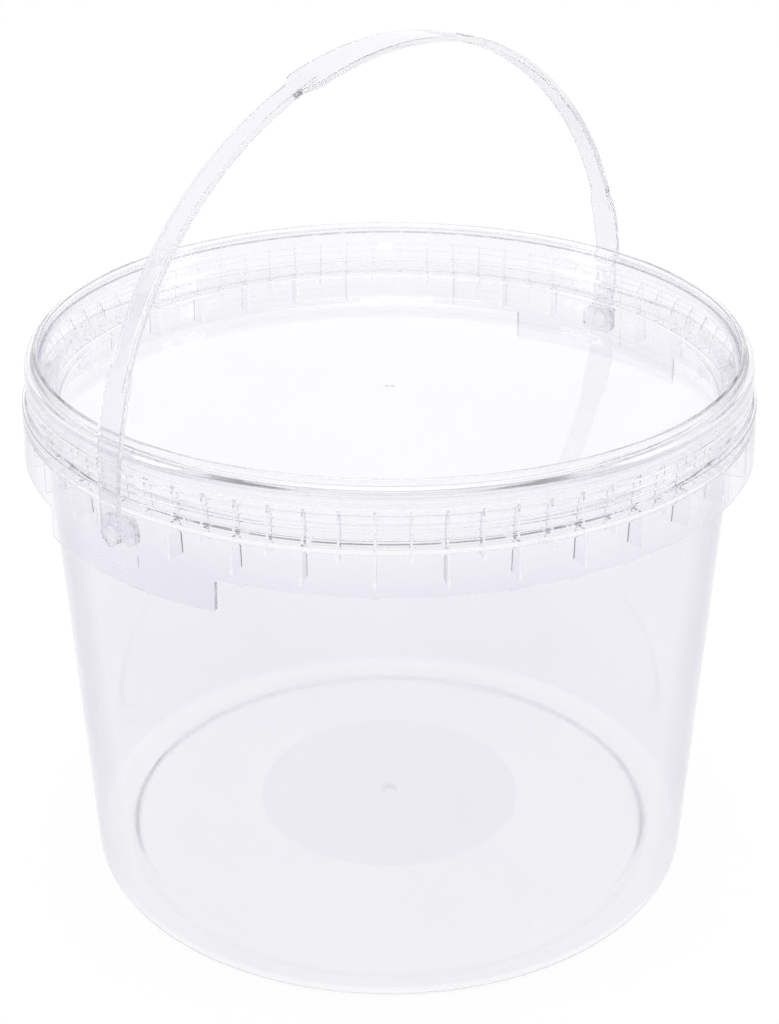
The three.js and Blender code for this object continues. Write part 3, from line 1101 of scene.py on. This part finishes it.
@dataclass
class Bail:
    """The bail: wide grip, two narrower arms, two wide feet and the hammer heads behind the apron.

    Lengths are in millimetres.
    """

    rim: Rim = RIM
    strap: float = 2.05
    clearance: float = 0.45
    leg: float = 12.6
    rise: float = 130.07
    foot_width: float = 11.4
    foot_end_width: float = 9.0
    foot_end_length: float = 14.0
    foot_tip_half_width: float = 0.72
    foot_flare: float = 24.0
    foot_length: float = 60.6
    taper: float = 9.0
    arm: float = 2.8
    arm_width: float = 8.2
    arm_lap: float = 10.0
    arm_edge: float = 0.4
    grip_width: float = 16.0
    grip_length: float = 102.0
    edge_radius: float = 0.6
    neck_radius: float = 3.0
    hammer_width: float = 15.0
    hammer_height: float = 9.4
    hammer: float = 2.4
    hammer_corner: float = 3.0
    hammer_clearance: float = 1.5
    stations: int = 220
    least_cuts: int = 8
    corner_share: float = 0.2
    hold_share: float = 0.95
    halvings: int = 40

    @property
    def half_span(self) -> float:
        """Half of the arch's span along the strap's middle."""
        return self.rim.apron_outer(self.springing) + self.clearance + self.strap / 2

    @property
    def springing(self) -> float:
        """Height at which the leaning legs turn into the arch."""
        return self.rim.pivot + self.leg

    def place(self, share: float) -> tuple[Vector, Vector]:
        """Finds a point on the strap's middle line.

        Args:
            share: 0 at the near foot's lowest point, 1 at the far foot's.

        Returns:
            The point and the outward direction there, in the XZ plane, in millimetres.
        """
        low = self.rim.pivot - self.foot_end_width / 2
        leg = self.springing - low
        quarter = math.pi * (self.half_span + self.rise) / 4
        whole = 2 * (leg + quarter)
        run = share * whole
        to_end = min(run, whole - run)
        if to_end < leg:
            side = -1 if run < leg else 1
            lean = self.rim.apron_slope * (leg - to_end)
            return Vector((side * (self.half_span + lean), 0, low + to_end)), Vector((side, 0, 0))
        angle = math.pi * (1 - (run - leg) / (2 * quarter))
        across, up = math.cos(angle), math.sin(angle)
        point = Vector((self.half_span * across, 0, self.springing + self.rise * up))
        normal = Vector((self.rise * across, 0, self.half_span * up)).normalized()
        return point, normal

    def half_width(self, point: Vector) -> float:
        """Half of the wide strap's width, which is narrower under the arms.

        Args:
            point: A point of the strap's middle line, in millimetres.

        Returns:
            The half width there, in millimetres.
        """
        narrow = self.arm_width / 2 - self.arm_edge
        above = point.z - self.rim.pivot
        inside = (self.grip_length / 2 - abs(point.x)) / self.taper
        if point.z > self.springing + self.rise / 2:
            return self.eased(narrow, self.grip_width / 2, inside)
        if above > self.foot_length - self.taper:
            return self.eased(narrow, self.foot_width / 2, (self.foot_length - above) / self.taper)
        flare = min(max((above - self.foot_end_length) / self.foot_flare, 0), 1)
        return self.foot_end_width / 2 + flare * (self.foot_width - self.foot_end_width) / 2

    @staticmethod
    def eased(low: float, high: float, share: float) -> float:
        """Goes from low to high in an S curve as share goes from 0 to 1."""
        part = min(max(share, 0.0), 1.0)
        return low + (high - low) * part * part * (3 - 2 * part)

    def strip(
        self, thickness: float, width: Callable[[Vector], float], start: float, end: float,
    ) -> bmesh.types.BMesh:
        """Bends a flat bar along the arch.

        Args:
            thickness: The bar's thickness, in millimetres.
            width: Gives the bar's half width at a point of the middle line.
            start: Share of the whole strap where it starts.
            end: Share where it ends.

        Returns:
            The closed strip.
        """
        mesh = bmesh.new()
        bmesh.ops.create_cube(mesh, size=1.0)
        bmesh.ops.scale(mesh, vec=(1, 2, thickness), verts=mesh.verts)
        bmesh.ops.translate(mesh, vec=(0.5, 0, 0), verts=mesh.verts)
        long_edges = [e for e in mesh.edges if abs(e.verts[0].co.x - e.verts[1].co.x) > 0.5]
        bmesh.ops.bevel(
            mesh, geom=long_edges, offset=self.corner_share, segments=3, affect="EDGES",
            profile=0.5, material=-1,
        )
        flat = 1 - self.corner_share
        cuts = max(int(self.stations * (end - start)), self.least_cuts)
        planes = [((0, side * self.hold_share * flat, 0), (0, 1, 0)) for side in (-1, 1)]
        planes += [((i / cuts, 0, 0), (1, 0, 0)) for i in range(1, cuts)]
        for place, direction in planes:
            bmesh.ops.bisect_plane(
                mesh, geom=[*mesh.verts, *mesh.edges, *mesh.faces],
                plane_co=place, plane_no=direction, dist=WELD,
            )
        for vert in mesh.verts:
            along, across, up = vert.co
            point, normal = self.place(start + (end - start) * along)
            edge = max(abs(across) - flat, 0) / self.corner_share
            reach = (width(point) - self.edge_radius) * min(abs(across) / flat, 1)
            reach += self.edge_radius * edge
            vert.co = (point + normal * up + Vector((0, math.copysign(reach, across), 0))) * MM
        bmesh.ops.recalc_face_normals(mesh, faces=mesh.faces)
        return mesh

    def share_where(self, reached: Callable[[Vector], bool]) -> float:
        """Finds where the strap's middle line, going up from the near foot, reaches a place.

        Args:
            reached: Whether a point of the line lies at that place or past it.

        Returns:
            The share of the whole strap there.
        """
        low, high = 0.0, 0.5
        for _ in range(self.halvings):
            middle = (low + high) / 2
            if reached(self.place(middle)[0]):
                high = middle
            else:
                low = middle
        return low

    def foot_half_width(self, point: Vector) -> float:
        """Half of the wide strap's width, rounded off below the pivot.

        Args:
            point: A point of the strap's middle line, in millimetres.

        Returns:
            The half width there, in millimetres.
        """
        half = self.half_width(point)
        below = self.rim.pivot - point.z
        if below <= 0:
            return half
        return max(math.sqrt(max(half * half - below * below, 0)), self.foot_tip_half_width)

    def build(self) -> bpy.types.Object:
        """Builds and dresses the bail.

        Returns:
            The bail's object.
        """
        rim = self.rim
        bail = to_object(self.strip(self.strap, self.foot_half_width, 0, 1), "bail_moulding")
        arm_foot = rim.pivot + self.foot_length - self.arm_lap
        arm_top = self.grip_length / 2 - self.arm_lap
        low = self.share_where(lambda point: point.z >= arm_foot)
        high = self.share_where(lambda point: -point.x <= arm_top)
        for start, end in ((low, high), (1 - high, 1 - low)):
            arm = self.strip(self.arm, lambda point: self.arm_width / 2, start, end)
            put_together(bail, arm, Join.ADD)
        outer = rim.apron_inner(rim.pivot) - self.hammer_clearance
        neck_end = rim.apron_outer(rim.pivot) + self.clearance + self.strap / 2
        half = Vector((0, self.hammer_width / 2, self.hammer_height / 2))
        for side in Side:
            ends = sorted((side.value * (outer - self.hammer), side.value * outer))
            lowest = (Vector((ends[0], 0, rim.pivot)) - half) * MM
            highest = (Vector((ends[1], 0, rim.pivot)) + half) * MM
            head = block(lowest, highest, self.hammer_corner * MM)
            put_together(bail, head, Join.ADD)
            start = side.value * (outer - self.hammer / 2) * MM
            end = side.value * neck_end * MM
            put_together(bail, rod(self.neck_radius * MM, start, end, rim.pivot * MM), Join.ADD)
        smooth(bail)
        bail.data.materials.clear()
        bail.data.materials.append(BAIL_FINISH.build())
        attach(bail, "bail")
        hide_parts("bail")
        return bail


@dataclass(frozen=True)
class Softbox:
    """A soft lamp aimed at the pail. Lengths are in metres.

    Args:
        name: The lamp's name.
        place: Where it hangs.
        size: Its width and height.
        power: Its power, in watts.
    """

    name: str
    place: tuple[float, float, float]
    size: tuple[float, float]
    power: float

    def hang(self, target: Vector) -> None:
        """Hangs the lamp, unseen by the camera and through clear plastic.

        Args:
            target: What it is aimed at.
        """
        light = bpy.data.lights.new(self.name, "AREA")
        light.shape = "RECTANGLE"
        light.size, light.size_y = self.size
        light.energy = self.power
        lamp = bpy.data.objects.new(self.name, light)
        lamp.location = self.place
        aim = target - Vector(self.place)
        lamp.rotation_euler = aim.to_track_quat("-Z", "Y").to_euler()
        lamp.visible_camera = False
        lamp.visible_transmission = False
        bpy.context.scene.collection.objects.link(lamp)


SOFTBOXES = (
    Softbox(name="left_softbox", place=(-1.3, 0.9, 0.9), size=(0.5, 0.7), power=5.5),
    Softbox(name="right_softbox", place=(0.9, -1.3, 0.9), size=(0.5, 0.7), power=5.5),
    Softbox(name="top_softbox", place=(0.0, 0.0, 1.8), size=(0.9, 0.9), power=12.0),
    Softbox(name="back_softbox", place=(1.6, 1.45, 1.0), size=(3.0, 1.4), power=4.0),
)


@dataclass
class Studio:
    """White floor and surroundings, soft lamps and the camera.

    Lengths are in metres, but the lens and sensor in millimetres, and the turn in degrees. Two
    softboxes hang at the sides, one overhead, and a wide one behind for the lid to mirror.
    """

    floor_size: float = 12.0
    floor_drop: float = 0.0002
    floor_tone: float = 0.8
    floor_glow: float = 0.94
    shadow_share: float = 0.08
    room_light: float = 0.5
    bounces: int = 96
    haze_bounces: int = 16
    camera_out: float = 0.7067
    camera_up: float = 0.4866
    camera_turn: float = -138.0
    aim_height: float = 0.1415
    lens: float = 69.95
    sensor: float = 36.0

    @property
    def aim(self) -> Vector:
        """The point that lamps and camera are aimed at."""
        return Vector((0, 0, self.aim_height))

    @staticmethod
    def seen(tree: bpy.types.NodeTree) -> bpy.types.NodeSocket:
        """Adds a switch for what the camera sees, directly, mirrored or through clear plastic.

        Args:
            tree: The node tree that it is added to.

        Returns:
            A socket that is 1 for such rays and 0 for the rest.
        """
        path = tree.nodes.new("ShaderNodeLightPath")
        total = path.outputs["Is Camera Ray"]
        for name in ("Is Glossy Ray", "Is Transmission Ray"):
            add = tree.nodes.new("ShaderNodeMath")
            add.operation = "MAXIMUM"
            link(tree, total, add.inputs[0])
            link(tree, path.outputs[name], add.inputs[1])
            total = add.outputs["Value"]
        return total

    @staticmethod
    def switched(tree: bpy.types.NodeTree, unseen: float, seen: float) -> bpy.types.NodeSocket:
        """Adds a grey that differs between what the camera sees and what only lights the pail.

        Args:
            tree: The node tree that it is added to.
            unseen: The grey where it only lights the pail.
            seen: The grey where the camera sees it.

        Returns:
            The grey as a value.
        """
        spread = tree.nodes.new("ShaderNodeMapRange")
        spread.inputs["To Min"].default_value = unseen
        spread.inputs["To Max"].default_value = seen
        link(tree, Studio.seen(tree), spread.inputs["Value"])
        return spread.outputs["Result"]

    def floor(self) -> None:
        """Lays the white floor, which still takes the pail's faint shadow."""
        mesh = bmesh.new()
        bmesh.ops.create_grid(mesh, x_segments=4, y_segments=4, size=self.floor_size / 2)
        bmesh.ops.translate(mesh, verts=mesh.verts, vec=(0, 0, -self.floor_drop))
        floor = to_object(mesh, "floor")
        material = bpy.data.materials.new("floor_paper")
        material.use_nodes = True
        tree = material.node_tree
        shader = tree.nodes["Principled BSDF"]
        shader.inputs["Roughness"].default_value = 0.9
        shader.inputs["Specular IOR Level"].default_value = 0.0
        shader.inputs["Emission Color"].default_value = (1, 1, 1, 1)
        tone = self.switched(tree, self.floor_tone, self.shadow_share)
        link(tree, tone, shader.inputs["Base Color"])
        glow = self.switched(tree, 0.0, self.floor_glow)
        link(tree, glow, shader.inputs["Emission Strength"])
        floor.data.materials.append(material)

    def world(self) -> None:
        """Surrounds the pail with white, which lights it more softly than it looks."""
        world = bpy.data.worlds.new("studio")
        bpy.context.scene.world = world
        world.use_nodes = True
        tree = world.node_tree
        background = tree.nodes["Background"]
        background.inputs["Color"].default_value = (1, 1, 1, 1)
        tone = self.switched(tree, self.room_light, 1.0)
        link(tree, tone, background.inputs["Strength"])

    def camera(self) -> None:
        """Sets the camera where the photograph was taken from."""
        turn = math.radians(self.camera_turn)
        along = Vector((math.cos(turn), math.sin(turn), 0))
        place = along * self.camera_out + Vector((0, 0, self.camera_up))
        data = bpy.data.cameras.new("camera")
        data.lens = self.lens
        data.sensor_width = self.sensor
        camera = bpy.data.objects.new("camera", data)
        camera.location = place
        camera.rotation_euler = (self.aim - place).to_track_quat("-Z", "Y").to_euler()
        bpy.context.scene.collection.objects.link(camera)
        bpy.context.scene.camera = camera

    def build(self) -> None:
        """Builds the whole studio and sets how far light is followed through the plastic."""
        self.camera()
        self.floor()
        self.world()
        for box in SOFTBOXES:
            box.hang(self.aim)
        scene = bpy.context.scene
        scene.view_settings.view_transform = "Standard"
        scene.cycles.max_bounces = self.bounces
        scene.cycles.transmission_bounces = self.bounces
        scene.cycles.glossy_bounces = self.bounces
        scene.cycles.diffuse_bounces = self.haze_bounces


def main() -> None:
    """Builds the studio and the three mouldings."""
    logging.basicConfig(level=logging.INFO, format="%(name)s: %(message)s")
    Studio().build()
    for maker in (Tub(), Lid(), Bail()):
        piece = maker.build()
        LOG.info("%s: %d faces", piece.name, len(piece.data.polygons))


if __name__ == "__main__":
    main()
